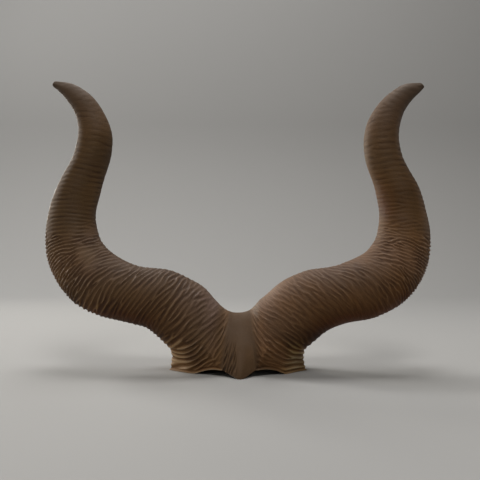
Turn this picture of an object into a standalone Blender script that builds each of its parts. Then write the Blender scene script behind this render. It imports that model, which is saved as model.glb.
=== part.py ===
"""A pair of ox horns on the strip of skull that joins them.

The object stands on the flat cut under its base, faces -Y, and spreads along X.
Each horn is one closed sheath: a ridged foot that is hollow below, a thick arm that runs
outwards, a bend, and an upright part that ends in an outward tip. The skull strip is an arch of
bone between the two feet. Lengths are in millimetres until the meshes are written in metres.

A horn is described in a frame of its own side: the first coordinate is the distance outwards
from the middle, the second is the depth (negative in front) and the third is the height.
Around the horn the angle is 0 at the outer or lower side, 90 in front, 180 at the inner or upper
side and 270 behind.
"""

import math

import bpy
import numpy as np

METRES_PER_MM = 0.001

# The skull strip: its height and the rise of its saddle, its joint planes with the horns, and its
# feet in front and behind.
SADDLE_HEIGHT = 98.0
SADDLE_RISE = {"left": 1.5, "right": 4.0}
SADDLE_LOW_SHARE = 0.32
SADDLE_FALL = 2.5
STRIP_TOP = {"left": 12.0, "right": 19.0}
STRIP_FOOT = {"left": 27.0, "right": 30.0}
FRONT_FOOT_DEPTH = -54.0
FRONT_FOOT_HEIGHT = 10.5
FRONT_POINT_DEPTH = -75.0
FRONT_POINT_SHARE = 0.55
FRONT_POINT_FLAT = 0.14
FRONT_POINT_SHARPNESS = 1.4
FRONT_POINT_FALL = 6.0
FRONT_POINT_ROUNDNESS = 0.3
BACK_FOOT_DEPTH = 57.0
BACK_POINT_DEPTH = 61.0
FRONT_FULLNESS = 1.6
BACK_FULLNESS = 2.0
JOINT_GAP = 0.3

# The hollow under the base.
WALL = 9.0
HOLLOW_HEIGHT = 56.0
HOLLOW_END = (62.0, 0.0, 50.0)
HOLLOW_RINGS = 5

# How a horn leaves its foot: the share of its rise by which a wall leans in, the slopes at the
# front and back of the joint with the strip, and the climb at the joint's top.
FLARE = {"left": 0.3, "right": 0.45}
FRONT_SLOPE = 0.45
BACK_SLOPE = -0.2
SLOPE_FALL = 3.0
SADDLE_SLOPE = {"left": 0.3, "right": 0.5}
CORNER_SPREAD = 30.0

# Rim of each foot: angle, distance outwards, depth, height of the cut edge. The rim is creased at
# the first and last row of each stretch.
RIM = {
    "left": {
        "side": [(0, 116, 3, 0), (22, 101, -10, 0), (45, 73, -30, 0)],
        "arch": [(45, 73, -30, 0), (60, 58, -38, 6), (75, 41, -45, 10), (90, 27, -54, 10.5)],
        "back": [(270, 27, 57, 0), (292, 50, 58, 0), (315, 80, 51, 0), (338, 105, 32, 0), (360, 116, 3, 0)],
    },
    "right": {
        "side": [(0, 116, 0, 0), (22, 101, -11, 0), (45, 79, -34, 0)],
        "arch": [(45, 79, -34, 0), (60, 64, -40, 7), (75, 46, -46, 10.5), (90, 30, -54, 10.5)],
        "back": [(270, 30, 57, 0), (292, 52, 58, 0), (315, 80, 51, 0), (338, 105, 30, 0), (360, 116, 0, 0)],
    },
}

# Outline of each horn seen from the front, from its root to its tip. Each row is a ring: the
# lower or outer edge (outwards, height), the upper or inner edge (outwards, height), the depth of
# the ring's middle, and how far its front hangs back towards the skull.
OUTLINE = {
    "left": [
        (119, 43, 39, 121, -3, 18),
        (137, 60, 58, 142, -5.5, 12),
        (154, 74, 79, 155, -8, 6),
        (177, 81, 109, 168.5, -10, -2),
        (233, 94, 174, 180, -6, -8),
        (282, 119, 221, 204, 6, -6),
        (302, 139, 233, 216, 13, -4),
        (328, 187, 245, 240, 25, -1),
        (334, 241, 249, 265, 32, 0),
        (329, 277, 248, 281, 35, 0),
        (317, 314, 241, 312, 37, 0),
        (286, 379, 223, 378, 39, 0),
        (280, 411, 223, 408, 39, 0),
        (283, 435, 231, 434, 39, 0),
        (305, 473, 266, 482, 37, 0),
        (317, 485, 294, 496, 36, 0),
        (323, 490, 319, 499, 35, 0),
    ],
    "right": [
        (119, 43, 39, 122, -3, 18),
        (154, 71, 80, 155, -8, 6),
        (177, 81, 110, 168, -10, -2),
        (233, 92, 174, 181, -6, -8),
        (284, 119, 222, 205, 6, -6),
        (304, 139, 234, 220, 13, -4),
        (329, 187, 244, 244, 25, -1),
        (334, 239, 247, 268, 32, 0),
        (327, 274, 246, 283, 35, 0),
        (317, 310, 241, 310, 37, 0),
        (287, 373, 223, 371, 39, 0),
        (282, 405, 223, 403, 39, 0),
        (287, 435, 231, 435, 39, 0),
        (307, 469, 268, 481, 37, 0),
        (319, 481, 295, 495, 36, 0),
        (325, 488, 319, 496, 35, 0),
    ],
}
DEPTH_RATIO = 0.96
TIP_LENGTH = {"left": 3.5, "right": 2.5}

# Mesh spacing, and the ridges: one ring of the mesh is a crest and the next is a groove.
SEGMENTS = 24
FOOT_RINGS = 10
RING_SPACING = 7.4
TIP_RINGS = 2
STRIP_STATIONS = (0.0, 0.12, 0.3, 0.473, 0.613, 0.75, 0.88, 1.0)
AXIS_STEP = 0.5
SHARP_ANGLE = 40.0
FOOT_LENGTH = 60.0
RIDGE_HEIGHTS = [(-60, 2.2), (0, 1.8), (120, 1.5), (260, 1.2), (330, 0.7), (470, 0.4), (510, 0.0), (600, 0.0)]
RIDGE_VARIATION = 0.3
RIDGE_SEED = 11
JOINT_EDGE = (88.0, 92.0)
JOINT_FADE_SHARE = 0.3

# Colour (linear red, green, blue) and roughness of each piece.
FINISH = {
    "left_horn": ((0.075, 0.043, 0.025), 0.55),
    "right_horn": ((0.080, 0.044, 0.024), 0.55),
    "skull_strip": ((0.095, 0.056, 0.032), 0.60),
}


def smooth_curve(rows, at):
    """Smooth curve through rows whose first column is the parameter, read at the values in at."""
    rows = np.asarray(rows, float)
    knots = rows[:, 0]
    values = rows[:, 1:]
    steps = np.diff(knots)[:, None]
    slopes = np.diff(values, axis=0) / steps
    tangents = np.empty_like(values)
    tangents[0] = slopes[0]
    tangents[-1] = slopes[-1]
    tangents[1:-1] = (slopes[:-1] * steps[1:] + slopes[1:] * steps[:-1]) / (steps[1:] + steps[:-1])
    at = np.asarray(at, float)
    i = np.clip(np.searchsorted(knots, at, side="right") - 1, 0, len(knots) - 2)
    return hermite(values[i], tangents[i] * steps[i], values[i + 1], tangents[i + 1] * steps[i],
                   ((at - knots[i]) / steps[i, 0])[:, None])


def hermite(start, start_pull, end, end_pull, f):
    """Cubic from start to end that leaves along start_pull and arrives along end_pull."""
    return (start * (2 * f**3 - 3 * f**2 + 1) + start_pull * (f**3 - 2 * f**2 + f)
            + end * (3 * f**2 - 2 * f**3) + end_pull * (f**3 - f**2))


def smooth_step(value, low, high):
    """0 below low, 1 above high, smooth between."""
    f = np.clip((value - low) / (high - low), 0, 1)
    return f * f * (3 - 2 * f)


def unit(vectors):
    return vectors / np.linalg.norm(vectors, axis=-1, keepdims=True)


def arch_curve(angles, front, back, top):
    """Depth and height along an arch from its front foot (90) over its top (180) to its back foot.

    front and back are (depth, height) of the feet, and top is the height in the middle.
    """
    turn = np.radians(angles - 90.0)
    ahead = angles <= 180.0
    power = np.where(ahead, 2.0 / FRONT_FULLNESS, 2.0 / BACK_FULLNESS)
    foot_depth = np.where(ahead, front[0], back[0])
    foot_height = np.where(ahead, front[1], back[1])
    depth = foot_depth * np.abs(np.cos(turn)) ** power
    height = foot_height + (top - foot_height) * np.abs(np.sin(turn)) ** power
    return depth, height


def joint_distance(side, height):
    """Distance from the middle to the joint plane between a horn and the skull strip."""
    share = 1.0 - height / SADDLE_HEIGHT
    return STRIP_TOP[side] + (STRIP_FOOT[side] - STRIP_TOP[side]) * share


def foot_ring(side, angles, inset):
    """The foot's closed edge: its rim, and the arch where it meets the skull strip.

    inset moves the ring inwards, from the outer surface to the wall of the hollow.
    """
    ring = np.empty((len(angles), 3))
    stretches = RIM[side]
    for name, first, last in (("side", 0, 45), ("arch", 45, 90), ("back", 270, 360)):
        inside = (angles >= first) & (angles <= last)
        ring[inside] = smooth_curve(stretches[name], angles[inside])
    turn = np.radians(angles)
    inwards = np.stack([-np.cos(turn), np.sin(turn), np.zeros_like(turn)], axis=1)
    ring += inset * inwards
    joint = (angles >= 90.0) & (angles <= 270.0)
    top = SADDLE_HEIGHT + SADDLE_RISE[side] if inset == 0 else HOLLOW_HEIGHT
    depth, height = arch_curve(angles[joint], (FRONT_FOOT_DEPTH + inset, FRONT_FOOT_HEIGHT),
                               (BACK_FOOT_DEPTH - inset, 0.0), top)
    out = joint_distance(side, height) + JOINT_GAP / 2
    ring[joint] = np.stack([out, depth, height], axis=1)
    return ring


def foot_direction(angles, flare, slope):
    """Unit directions in which the surface leaves the foot's edge: up a wall, or out of the joint.

    flare is how far a wall leans in, and slope how fast the top of the joint climbs outwards.
    """
    turn = np.radians(angles)
    wall = np.stack([-flare * np.cos(turn), flare * np.sin(turn), np.ones_like(turn)], axis=1)
    lean = np.where(angles <= 180.0, FRONT_SLOPE, BACK_SLOPE) * np.abs(np.sin(turn)) ** SLOPE_FALL
    joint = np.stack([np.ones_like(turn), lean, slope * np.cos(turn) ** 2], axis=1)
    off_corner = np.abs(angles - 180.0)
    share = smooth_step(off_corner, 90.0 - CORNER_SPREAD, 90.0 + CORNER_SPREAD)[:, None]
    return unit(unit(wall) * share + unit(joint) * (1 - share))


def horn_stations(side):
    """Rows of the horn's outline with the length along its middle as the parameter."""
    rows = np.asarray(OUTLINE[side], float)
    middle = np.stack([(rows[:, 0] + rows[:, 2]) / 2, rows[:, 4], (rows[:, 1] + rows[:, 3]) / 2], axis=1)
    length = np.concatenate([[0], np.cumsum(np.linalg.norm(np.diff(middle, axis=0), axis=1))])
    return np.column_stack([length, rows])


def horn_rings(side, at, angles):
    """Rings of points on the smooth horn at the lengths in at, as an array (ring, angle, 3)."""
    stations = horn_stations(side)
    row = smooth_curve(stations, at)
    ahead = smooth_curve(stations, np.minimum(at + AXIS_STEP, stations[-1, 0]))
    behind = smooth_curve(stations, np.maximum(at - AXIS_STEP, 0.0))
    axis = unit(np.stack([(ahead - behind)[:, 0] + (ahead - behind)[:, 2],
                          (ahead - behind)[:, 1] + (ahead - behind)[:, 3]], axis=1))
    middle = np.stack([(row[:, 0] + row[:, 2]) / 2, row[:, 4], (row[:, 1] + row[:, 3]) / 2], axis=1)
    half_out = (row[:, 0] - row[:, 2]) / 2
    half_up = (row[:, 1] - row[:, 3]) / 2
    thickness = np.abs(half_out * axis[:, 1] - half_up * axis[:, 0])
    across = np.stack([half_out, np.zeros_like(half_out), half_up], axis=1)
    forward = np.stack([-row[:, 5] * axis[:, 0], -DEPTH_RATIO * thickness, -row[:, 5] * axis[:, 1]], axis=1)
    turn = np.radians(angles)
    return (middle[:, None] + across[:, None] * np.cos(turn)[None, :, None]
            + forward[:, None] * np.sin(turn)[None, :, None])


def foot_rings(side, shares, angles):
    """Rings between the foot's edge (share 0) and the horn's first ring (share 1)."""
    start = foot_ring(side, angles, 0.0)
    first = horn_rings(side, np.array([0.0, 1.0]), angles)
    end = first[0]
    reach = np.linalg.norm(end - start, axis=1, keepdims=True)
    leave = foot_direction(angles, FLARE[side], SADDLE_SLOPE[side]) * reach
    arrive = unit(first[1] - first[0]) * reach
    return np.stack([hermite(start, leave, end, arrive, share) for share in shares])


def hollow_rings(side, shares, angles):
    """Rings of the hollow from the rim's inner edge (share 0) towards its closed end (share 1)."""
    start = foot_ring(side, angles, WALL)
    end = np.array(HOLLOW_END)
    reach = np.linalg.norm(end - start, axis=1, keepdims=True)
    leave = foot_direction(angles, 0.0, 0.0) * reach
    arrive = (end - start) * [1, 1, 0]
    return np.stack([hermite(start, leave, end, arrive, share) for share in shares])


def tip_rings(side, angles):
    """Shrinking rings that round off the tip, and the point at its end."""
    stations = horn_stations(side)
    last = horn_rings(side, stations[-1:, 0] - 1.0, angles)[0]
    end = horn_rings(side, stations[-1:, 0], angles)[0]
    middle = end.mean(axis=0)
    ahead = unit(middle - last.mean(axis=0)) * TIP_LENGTH[side]
    rings = []
    for step in range(1, TIP_RINGS + 1):
        turn = math.radians(90.0 * step / (TIP_RINGS + 1))
        rings.append(middle + (end - middle) * math.cos(turn) + ahead * math.sin(turn))
    return np.array(rings), middle + ahead


def surface_normals(rings):
    """Unit normals of a grid of rings, pointing away from the rings' middles."""
    around = np.roll(rings, -1, axis=1) - np.roll(rings, 1, axis=1)
    along = np.gradient(rings, axis=0)
    normals = np.cross(around, along)
    outwards = rings - rings.mean(axis=1, keepdims=True)
    if np.sum(normals * outwards) < 0:
        normals = -normals
    return unit(normals)


def ridge_height(lengths, angles, rings):
    """Height of the ridges: crests and grooves by turns, uneven, and low where they crowd."""
    random = np.random.default_rng(RIDGE_SEED)
    height = np.interp(lengths, *np.transpose(RIDGE_HEIGHTS))
    crest = np.where(np.arange(len(lengths)) % 2 == 0, 1.0, -1.0)
    phase = random.uniform(0, 2 * math.pi, (len(lengths), 2))
    turn = np.radians(angles)
    uneven = np.cos(2 * turn[None] + phase[:, :1]) + np.cos(3 * turn[None] + phase[:, 1:])
    spacing = np.linalg.norm(np.gradient(rings, axis=0), axis=2)
    crowding = np.minimum(1.0, spacing / RING_SPACING)
    return (height * crest)[:, None] * (1 + RIDGE_VARIATION * uneven) * crowding


def joint_fade(shares, angles):
    """0 where the foot meets the skull strip, so that the ridges run out there, 1 elsewhere."""
    at_joint = 1 - smooth_step(np.abs(angles - 180.0), *JOINT_EDGE)
    return 1 - at_joint[None] * (1 - smooth_step(shares, 0.0, JOINT_FADE_SHARE))[:, None]


def horn_grid(side):
    """All rings of a horn's outside from the tip to the foot's edge, the hollow, and both ends."""
    angles = np.arange(SEGMENTS) * 360.0 / SEGMENTS
    length = horn_stations(side)[-1, 0]
    count = int(length / RING_SPACING)
    lengths = np.linspace(0.0, length, count + 1)
    shares = np.linspace(0.0, 1.0, FOOT_RINGS + 1)[:-1]
    smooth = np.concatenate([foot_rings(side, shares, angles), horn_rings(side, lengths, angles)])
    along = np.concatenate([-FOOT_LENGTH * (1 - shares), lengths])
    height = ridge_height(along, angles, smooth)
    height[:len(shares)] *= joint_fade(shares, angles)
    outside = smooth + surface_normals(smooth) * height[..., None]
    outside[0, :, 2] = smooth[0, :, 2]
    dome, point = tip_rings(side, angles)
    inside = hollow_rings(side, np.arange(HOLLOW_RINGS) / HOLLOW_RINGS, angles)
    return np.concatenate([dome[::-1], outside[::-1], inside]), point, np.array(HOLLOW_END)


def saddle_top(share):
    """Height of the top of the skull strip at a share of its width, a shallow saddle."""
    side = "left" if share < SADDLE_LOW_SHARE else "right"
    width = SADDLE_LOW_SHARE if side == "left" else 1 - SADDLE_LOW_SHARE
    return SADDLE_HEIGHT + SADDLE_RISE[side] * (abs(share - SADDLE_LOW_SHARE) / width) ** SADDLE_FALL


def strip_loop(share):
    """Closed section of the skull strip at a share of its width: outer arch, then hollow.

    In front the strip has a keel that runs out upwards, and ends below in a point.
    """
    off_middle = abs(2 * share - 1)
    side_width = FRONT_POINT_SHARE if share < FRONT_POINT_SHARE else 1 - FRONT_POINT_SHARE
    off_point = abs(share - FRONT_POINT_SHARE) / side_width
    lift = max(0.0, off_point - FRONT_POINT_FLAT) / (1 - FRONT_POINT_FLAT)
    rounded = math.hypot(off_point, FRONT_POINT_ROUNDNESS) - FRONT_POINT_ROUNDNESS
    rounded /= math.hypot(1.0, FRONT_POINT_ROUNDNESS) - FRONT_POINT_ROUNDNESS
    keel = (FRONT_POINT_DEPTH - FRONT_FOOT_DEPTH) * (1 - rounded) ** FRONT_POINT_SHARPNESS
    front_height = FRONT_FOOT_HEIGHT * lift
    back_depth = BACK_POINT_DEPTH + (BACK_FOOT_DEPTH - BACK_POINT_DEPTH) * off_middle**2
    angles = np.linspace(90.0, 270.0, SEGMENTS // 2 + 1)
    fall = np.clip(np.cos(np.radians(angles - 90.0)), 0, 1) ** FRONT_POINT_FALL
    outer = arch_curve(angles, (FRONT_FOOT_DEPTH, front_height), (back_depth, 0.0), saddle_top(share))
    inner = arch_curve(angles, (FRONT_FOOT_DEPTH + WALL, front_height), (back_depth - WALL, 0.0), HOLLOW_HEIGHT)
    depth = np.concatenate([outer[0] + keel * fall, (inner[0] + keel * fall)[::-1]])
    height = np.concatenate([outer[1], inner[1][::-1]])
    left = -joint_distance("left", height) + JOINT_GAP / 2
    right = joint_distance("right", height) - JOINT_GAP / 2
    return np.stack([left + (right - left) * share, depth, height], axis=1)


def ring_faces(rings, around, first):
    """Quads between neighbouring rings of vertices that start at the index first."""
    faces = []
    for ring in range(rings - 1):
        for place in range(around):
            a = first + ring * around + place
            b = first + ring * around + (place + 1) % around
            faces.append((a, b, b + around, a + around))
    return faces


def add_object(name, points, faces):
    """A new object, with its faces turned outwards, smooth shading and its own material."""
    mesh = bpy.data.meshes.new(name)
    mesh.from_pydata((np.asarray(points) * METRES_PER_MM).tolist(), [], faces)
    mesh.validate()
    mesh.shade_smooth()
    mesh.set_sharp_from_angle(angle=math.radians(SHARP_ANGLE))
    colour, roughness = FINISH[name]
    material = bpy.data.materials.new(name)
    material.use_nodes = True
    shader = material.node_tree.nodes["Principled BSDF"]
    shader.inputs["Base Color"].default_value = (*colour, 1.0)
    shader.inputs["Roughness"].default_value = roughness
    shader.inputs["Metallic"].default_value = 0.0
    mesh.materials.append(material)
    thing = bpy.data.objects.new(name, mesh)
    bpy.context.scene.collection.objects.link(thing)
    return thing


def add_horn(side):
    rings, point, hollow_end = horn_grid(side)
    sign = -1.0 if side == "left" else 1.0
    points = np.concatenate([[point], rings.reshape(-1, 3), [hollow_end]]) * [sign, 1, 1]
    last = len(points) - 1
    faces = [(0, 1 + (place + 1) % SEGMENTS, 1 + place) for place in range(SEGMENTS)]
    faces += ring_faces(len(rings), SEGMENTS, 1)
    start = last - SEGMENTS
    faces += [(last, start + place, start + (place + 1) % SEGMENTS) for place in range(SEGMENTS)]
    if side == "left":
        faces = [face[::-1] for face in faces]
    return add_object(f"{side}_horn", points, faces)


def add_skull_strip():
    loops = np.array([strip_loop(share) for share in STRIP_STATIONS])
    around = loops.shape[1]
    faces = [tuple(reversed(face)) for face in ring_faces(len(loops), around, 0)]
    half = around // 2
    last = (len(loops) - 1) * around
    for place in range(half - 1):
        quad = (place, place + 1, around - 2 - place, around - 1 - place)
        faces.append(quad)
        faces.append(tuple(last + index for index in reversed(quad)))
    return add_object("skull_strip", loops.reshape(-1, 3), faces)


def main():
    for thing in list(bpy.data.objects):
        bpy.data.objects.remove(thing, do_unlink=True)
    add_horn("left")
    add_horn("right")
    add_skull_strip()


main()
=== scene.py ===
"""Looks of the pair of ox horns: fine ridged meshes, horn and bone materials, floor, light, camera.

Each of the three pieces is made again with a fine mesh, on the same curves as its solid, and
stands for it. Lengths are in millimetres until the meshes are written in metres.

A horn's points are the distance outwards from the middle, the depth (negative in front) and the
height. The angle around it is 0 at its outer or lower side, 90 in front, 180 at its inner or upper
side and 270 behind.
"""

import math

import bpy
import numpy as np
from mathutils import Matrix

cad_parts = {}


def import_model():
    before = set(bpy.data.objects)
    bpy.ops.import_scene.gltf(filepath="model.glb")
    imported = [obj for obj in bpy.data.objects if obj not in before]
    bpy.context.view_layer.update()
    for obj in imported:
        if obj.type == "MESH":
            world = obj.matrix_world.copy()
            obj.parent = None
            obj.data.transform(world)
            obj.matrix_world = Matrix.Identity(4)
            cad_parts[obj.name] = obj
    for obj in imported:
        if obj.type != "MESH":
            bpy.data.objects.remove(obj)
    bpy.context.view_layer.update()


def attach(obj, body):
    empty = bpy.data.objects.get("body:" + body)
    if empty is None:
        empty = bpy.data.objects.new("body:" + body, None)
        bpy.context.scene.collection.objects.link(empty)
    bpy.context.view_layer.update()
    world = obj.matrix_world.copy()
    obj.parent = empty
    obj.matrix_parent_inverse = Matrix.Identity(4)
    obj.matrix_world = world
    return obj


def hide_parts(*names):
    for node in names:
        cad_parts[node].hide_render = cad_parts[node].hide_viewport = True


METRES_PER_MM = 0.001

# The skull strip: its height and the rise of its saddle, its joint planes with the horns, and its
# feet in front and behind.
SADDLE_HEIGHT = 98.0
SADDLE_RISE = {"left": 1.5, "right": 4.0}
SADDLE_LOW_SHARE = 0.32
SADDLE_FALL = 2.5
STRIP_TOP = {"left": 12.0, "right": 19.0}
STRIP_FOOT = {"left": 27.0, "right": 30.0}
FRONT_FOOT_DEPTH = -54.0
FRONT_FOOT_HEIGHT = 10.5
FRONT_POINT_DEPTH = -75.0
FRONT_POINT_SHARE = 0.55
FRONT_POINT_FLAT = 0.14
FRONT_POINT_SHARPNESS = 1.4
FRONT_POINT_FALL = 6.0
FRONT_POINT_ROUNDNESS = 0.3
BACK_FOOT_DEPTH = 57.0
BACK_POINT_DEPTH = 61.0
FRONT_FULLNESS = 1.6
BACK_FULLNESS = 2.0
JOINT_GAP = 0.02

# The hollow under the base.
WALL = 9.0
HOLLOW_HEIGHT = 56.0
HOLLOW_END = (62.0, 0.0, 50.0)

# How a horn leaves its foot: the share of its rise by which a wall leans in, the slopes at the
# front and back of the joint with the strip, and the climb at the joint's top.
FLARE = {"left": 0.3, "right": 0.45}
FRONT_SLOPE = 0.45
BACK_SLOPE = -0.2
SLOPE_FALL = 3.0
SADDLE_SLOPE = {"left": 0.3, "right": 0.5}
CORNER_SPREAD = 30.0

# Rim of each foot in smooth stretches that meet at a crease: angle, distance outwards, depth, height
# of the cut edge.
RIM = {
    "left": [
        [(0, 116, 3, 0), (22, 101, -10, 0), (45, 73, -30, 0)],
        [(45, 73, -30, 0), (60, 58, -38, 6), (75, 41, -45, 10), (90, 27, -54, 10.5)],
        [(270, 27, 57, 0), (292, 50, 58, 0), (315, 80, 51, 0), (338, 105, 32, 0), (360, 116, 3, 0)],
    ],
    "right": [
        [(0, 116, 0, 0), (22, 101, -11, 0), (45, 79, -34, 0)],
        [(45, 79, -34, 0), (60, 64, -40, 7), (75, 46, -46, 10.5), (90, 30, -54, 10.5)],
        [(270, 30, 57, 0), (292, 52, 58, 0), (315, 80, 51, 0), (338, 105, 30, 0), (360, 116, 0, 0)],
    ],
}

# Outline of each horn seen from the front, from root to tip. Each row is a ring: its lower or outer
# edge and its upper or inner edge (outwards, height), the depth of its middle, and how far its front
# hangs back towards the skull.
OUTLINE = {
    "left": [
        (119, 43, 39, 121, -3, 18), (137, 60, 58, 142, -5.5, 12), (154, 74, 79, 155, -8, 6),
        (177, 81, 109, 168.5, -10, -2), (233, 94, 174, 180, -6, -8), (282, 119, 221, 204, 6, -6),
        (302, 139, 233, 216, 13, -4), (328, 187, 245, 240, 25, -1), (334, 241, 249, 265, 32, 0),
        (329, 277, 248, 281, 35, 0), (317, 314, 241, 312, 37, 0), (286, 379, 223, 378, 39, 0),
        (280, 411, 223, 408, 39, 0), (283, 435, 231, 434, 39, 0), (305, 473, 266, 482, 37, 0),
        (317, 485, 294, 496, 36, 0), (323, 490, 319, 499, 35, 0),
    ],
    "right": [
        (119, 43, 39, 122, -3, 18), (154, 71, 80, 155, -8, 6), (177, 81, 110, 168, -10, -2),
        (233, 92, 174, 181, -6, -8), (284, 119, 222, 205, 6, -6), (304, 139, 234, 220, 13, -4),
        (329, 187, 244, 244, 25, -1), (334, 239, 247, 268, 32, 0), (327, 274, 246, 283, 35, 0),
        (317, 310, 241, 310, 37, 0), (287, 373, 223, 371, 39, 0), (282, 405, 223, 403, 39, 0),
        (287, 435, 231, 435, 39, 0), (307, 469, 268, 481, 37, 0), (319, 481, 295, 495, 36, 0),
        (325, 488, 319, 496, 35, 0),
    ],
}
DEPTH_RATIO = 0.96
TIP_LENGTH = {"left": 3.5, "right": 2.5}

# Mesh spacing of the fine pieces, and the step along a horn over which its direction is taken.
SEGMENTS = 168
FOOT_RINGS = 72
RING_SPACING = 1.25
TIP_RINGS = 5
HOLLOW_RINGS = 12
STRIP_COLUMNS = 96
SHORT_WAY = 1.0

# Direction of the ridges seen from the front, in degrees above level, going inwards. Each row is the
# length along the horn and the direction on its outer flank, its front and its inner flank, which
# lie FLANK_SHARE of the way to the horn's edges. From WIDEST_SHARE on it stays as it is.
RIDGE_DIRECTION = {
    "left": [
        (0, 28, 37, 34), (20, 52, 34, 28), (45, 72, 35, 37), (60, 62, 40, 42), (80, 58, 52, 44),
        (110, 62, 57, 39), (140, 51, 50, 42), (160, 56, 53, 24), (180, 60, 48, 20), (200, 74, 32, 21),
        (230, 62, 33, 14), (260, 48, 20, 4), (285, 35, 5, 2), (320, 10, -1, -1), (360, 0, -9, -3),
        (450, 0, -3, -6), (580, 20, 20, 20),
    ],
    "right": [
        (0, 24, 31, 20), (20, 48, 30, 22), (50, 44, 42, 46), (80, 52, 37, 40), (110, 66, 49, 24),
        (140, 58, 48, 22), (170, 55, 46, 9), (200, 68, 39, 5), (230, 46, 24, 8), (260, 32, 20, 5),
        (290, 15, 4, -4), (320, 0, -1, -5), (360, 0, -3, -6), (450, 0, -4, -6), (580, 20, 20, 20),
    ],
}
FLANK_SHARE = 0.707
WIDEST_SHARE = 0.85

# Direction of the ridges on the foot: distance outwards and direction, and what is added to it at
# each height. They are level on the outer wall. FOOT_REACH is where the horn's own take over.
FOOT_DIRECTION = [(0, 66), (16, 60), (30, 52), (43, 44), (56, 38), (80, 36), (120, 42)]
FOOT_RISE = [(0, -8), (60, 3), (75, 0), (100, -14)]
WALL_START = (64.0, 92.0)
WALL_TOP = {"left": (32.0, 56.0), "right": (12.0, 46.0)}
FOOT_REACH = (-20.0, 15.0)

# Size and shape of the ridges. Each row is the length along the horn (negative on the foot) and a
# value there. Narrowness is 1 for even waves, and more where the crests are thinner than the grooves.
FOOT_LENGTH = 60.0
RIDGE_PITCH = {
    "left": [(-60, 7.0), (-30, 7.9), (0, 8.2), (60, 8.3), (110, 8.6), (160, 8.5), (190, 7.7), (215, 6.8),
             (280, 6.6), (320, 7.4), (380, 9.0), (450, 10.5)],
    "right": [(-60, 7.0), (-30, 7.8), (0, 8.2), (80, 8.0), (160, 7.9), (190, 7.3), (215, 6.7), (280, 6.6),
              (320, 7.3), (380, 9.0), (450, 10.5)],
}
RIDGE_HEIGHT = [(-60, 1.15), (-30, 1.1), (0, 0.95), (40, 0.8), (130, 0.8), (170, 1.0), (250, 1.15),
                (300, 1.0)]
RIDGE_NARROWNESS = [(-60, 1.3), (100, 1.5), (240, 1.8), (290, 1.2), (320, 0.55)]
# How strongly painted shade darkens the grooves and painted light lightens the crests in the colour.
RIDGE_CONTRAST = [(-60, 1.1), (0, 1.0), (150, 0.9), (250, 1.0), (600, 0.9)]
RIDGE_SKEW = 0.35

# The upright part above the bend, where the ridges are low: the heights over which it starts, how
# ragged that line is, the length at which it starts, and how strong and how wavy its ridges are.
UPRIGHT_START = (218.0, 231.0)
UPRIGHT_RAGGED = 3.0
UPRIGHT_LENGTH = 290.0
UPRIGHT_STRENGTH = [(400, 0.3), (470, 0.15), (600, 0.1)]
UPRIGHT_WAVER = 0.4

# How the ridges grow out of noise: the rounds in which each point takes on what its neighbours
# expect, those that also look further along the horn, and the share that a point keeps of its own.
SEED = {"left": 4, "right": 21}
RIDGE_ROUNDS = {"left": 140, "right": 80}
LONG_ROUNDS = 300
LONG_HOP = 4
OWN_SHARE = 0.3
FORK_ROUNDS = 6
FORK_STRENGTH = 0.6
LEAST_SIZE = 1e-9

# How uneven the ridges are: shifts of their crests in radians (less on the upright part and on the
# foot's outer wall), of their direction in degrees and of their pitch, and the spots where they are
# weak. They are calmer at the horn's inner edge.
JITTER = {"left": 0.15, "right": 0.5}
JITTER_CALM = 0.6
RIDGE_WAVER = 6.0
PITCH_WAVER = 0.08
PITCH_LIMITS = (0.75, 1.35)
PATCHINESS = 0.4
PATCHINESS_LOSS = 0.15
INNER_EDGE = (0.75, 1.0)
INNER_EDGE_CALM = 0.5

# Finer ridges between them, the short cuts in their grooves, which painted shade darkens, and soft swells of
# the surface. The finer ridges also add painted shade and light to the colour.
FINE_PITCH_SHARE = 0.42
FINE_ROUNDS = 30
FINE_HEIGHT = [(-60, 0.16), (200, 0.2), (290, 0.15), (320, 0.07), (600, 0.03)]
FINE_CONTRAST = 0.3
FINE_WALL_CALM = 0.7
FINE_UPRIGHT_CALM = 0.5
CUT_CONTRAST = 0.4
CUT_DEPTH = 0.35
CUT_NARROWNESS = 5.0
CUT_START = (0.2, 1.4)
CUT_STRENGTH = (0.3, 1.0)
SWELL_HEIGHT = 0.45
SWELL_START = (-20.0, 20.0)

# Size of the features of each kind of unevenness, in mesh steps along and around a horn.
SPREAD = {"upright": (3.0, 3.0), "waver": (7.0, 6.0), "pitch": (16.0, 11.0), "jitter": (2.4, 2.0),
          "cuts": (3.0, 7.0), "patches": (5.0, 4.0), "swell": (14.0, 11.0), "wall": (6.0, 5.0),
          "wrinkles": (6.0, 6.0), "wrinkle_patches": (4.0, 5.0)}
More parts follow.
